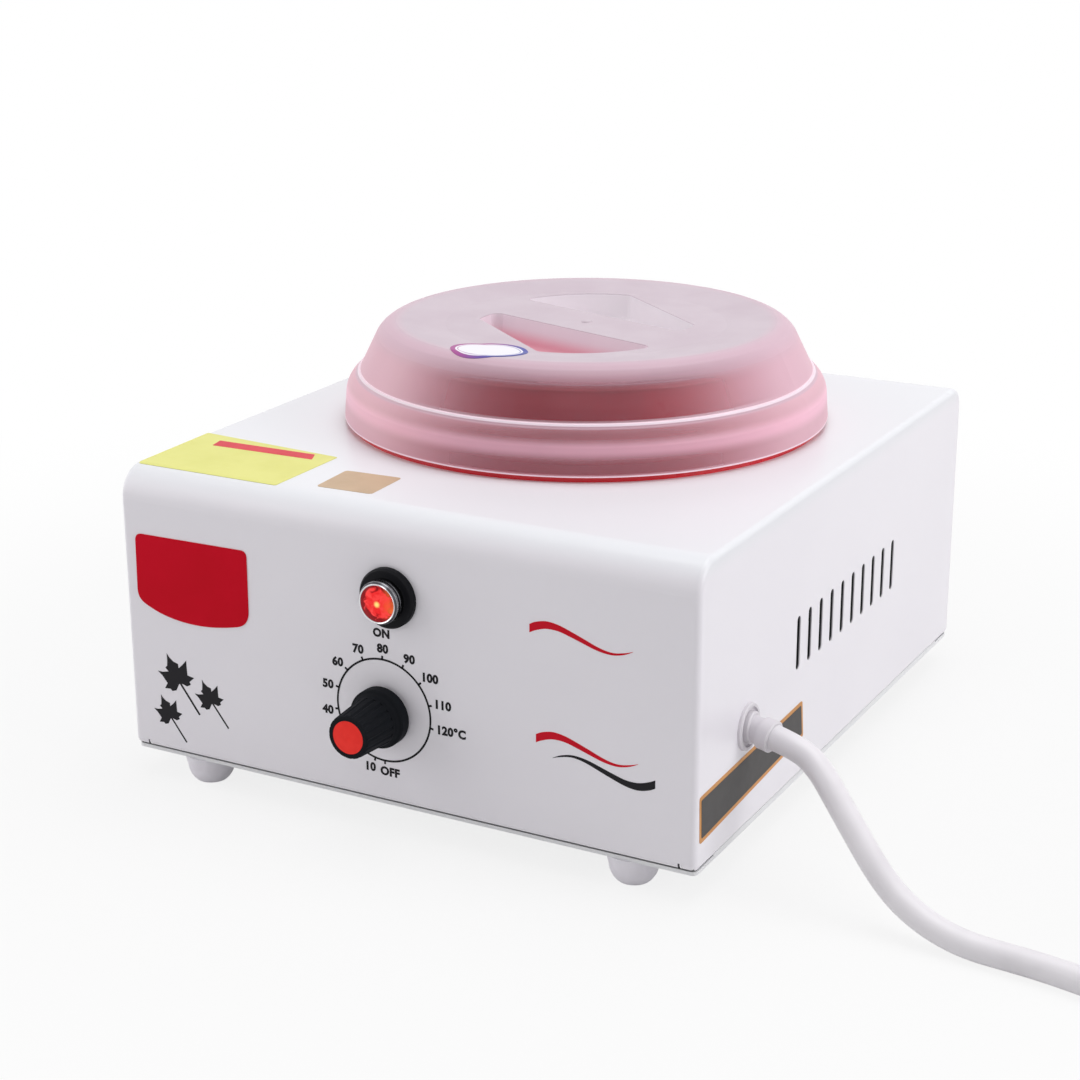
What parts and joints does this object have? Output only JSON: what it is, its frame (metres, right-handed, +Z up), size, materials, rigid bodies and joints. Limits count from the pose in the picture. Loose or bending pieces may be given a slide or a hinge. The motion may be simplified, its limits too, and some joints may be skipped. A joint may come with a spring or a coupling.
{
  "type": "electric wax heater",
  "caption": "Sheet-metal box with a lift-out round pot, a lid with two finger wells, a rotary heat control, a pilot lamp and a mains cord.",
  "frame": {"origin": "middle of the space the heater takes up, on the surface it stands on, without the free cord", "axes": "+Z up, front panel with knob and lamp faces -Y, cord leaves on the +X side"},
  "size_m": [0.4342, 0.2428, 0.1374],
  "materials": {
    "panel_paint": "satin white powder coat",
    "base_paint": "satin white powder coat",
    "zinc_steel": "zinc plated",
    "foot_rubber": "matt, pale",
    "well_aluminium": "drawn, satin",
    "element_mica": "mica, matt",
    "clamp_steel": "plain",
    "blanket_wool": "glass wool",
    "sensor_copper": "copper, satin",
    "pot_paint": "gloss red",
    "lid_frosted": "frosted, slightly see-through",
    "control_case": "moulded, dark",
    "knob_black": "semi-gloss black",
    "cap_red": "semi-gloss red",
    "seal_rubber": "matt black",
    "bezel_chrome": "bright",
    "lens_red": "red jewel",
    "holder_plastic": "moulded",
    "lamp_brass": "plain",
    "bushing_plastic": "moulded, pale",
    "block_ceramic": "unglazed",
    "earth_tin": "tinned",
    "wire_brown": "insulated wire",
    "wire_blue": "insulated wire",
    "wire_green": "insulated wire",
    "cord_sheath": "smooth pale sheath",
    "tie_plastic": "flat band",
    "plug_plastic": "moulded",
    "pin_brass": "plain"
  },
  "bodies": {
    "housing": {"casing_wrap": "panel_paint", "side_panel_left": "panel_paint", "side_panel_right": "panel_paint", "base_plate": "base_paint", "base_screws": "zinc_steel", "foot_screws": "zinc_steel", "foot_nuts": "zinc_steel", "clamp_stud": "zinc_steel", "clamp_nut": "zinc_steel", "earth_screw": "zinc_steel", "earth_nut": "zinc_steel", "control_washer": "zinc_steel", "control_nut": "zinc_steel", "foot_front_left": "foot_rubber", "foot_front_right": "foot_rubber", "foot_rear_left": "foot_rubber", "foot_rear_right": "foot_rubber", "heater_well": "well_aluminium", "heater_plate": "element_mica", "clamp_plate": "clamp_steel", "bulb_clip": "clamp_steel", "insulation_blanket": "blanket_wool", "sensor_bulb": "sensor_copper", "thermostat_body": "control_case", "lamp_ring": "seal_rubber", "lamp_bezel": "bezel_chrome", "lamp_lens": "lens_red", "lamp_holder": "holder_plastic", "lamp_nut": "lamp_brass", "terminal_screws": "lamp_brass", "cord_bushing": "bushing_plastic", "terminal_block": "block_ceramic", "earth_terminal": "earth_tin", "live_wires": "wire_brown", "neutral_wires": "wire_blue", "earth_wire": "wire_green", "cord": "cord_sheath", "cord_coil": "cord_sheath", "cord_tie": "tie_plastic", "plug_body": "plug_plastic", "plug_pins": "pin_brass"},
    "control": {"control_spindle": "zinc_steel", "control_knob": "knob_black", "knob_cap": "cap_red"},
    "pot": {"pot": "pot_paint"},
    "lid": {"lid": "lid_frosted"}
  },
  "joints": [
    {"name": "control_turn", "type": "hinge", "parent": "housing", "child": "control", "pos_m": [-0.0035, -0.10055, 0.0397], "axis": [0, 1, 0], "range_deg": [-81, 198]},
    {"name": "pot_lift", "type": "slide", "parent": "housing", "child": "pot", "axis": [0, 0, 1], "range_m": [0, 0.1]},
    {"name": "lid_lift", "type": "slide", "parent": "pot", "child": "lid", "axis": [0, 0, 1], "range_m": [0, 0.06]}
  ]
}
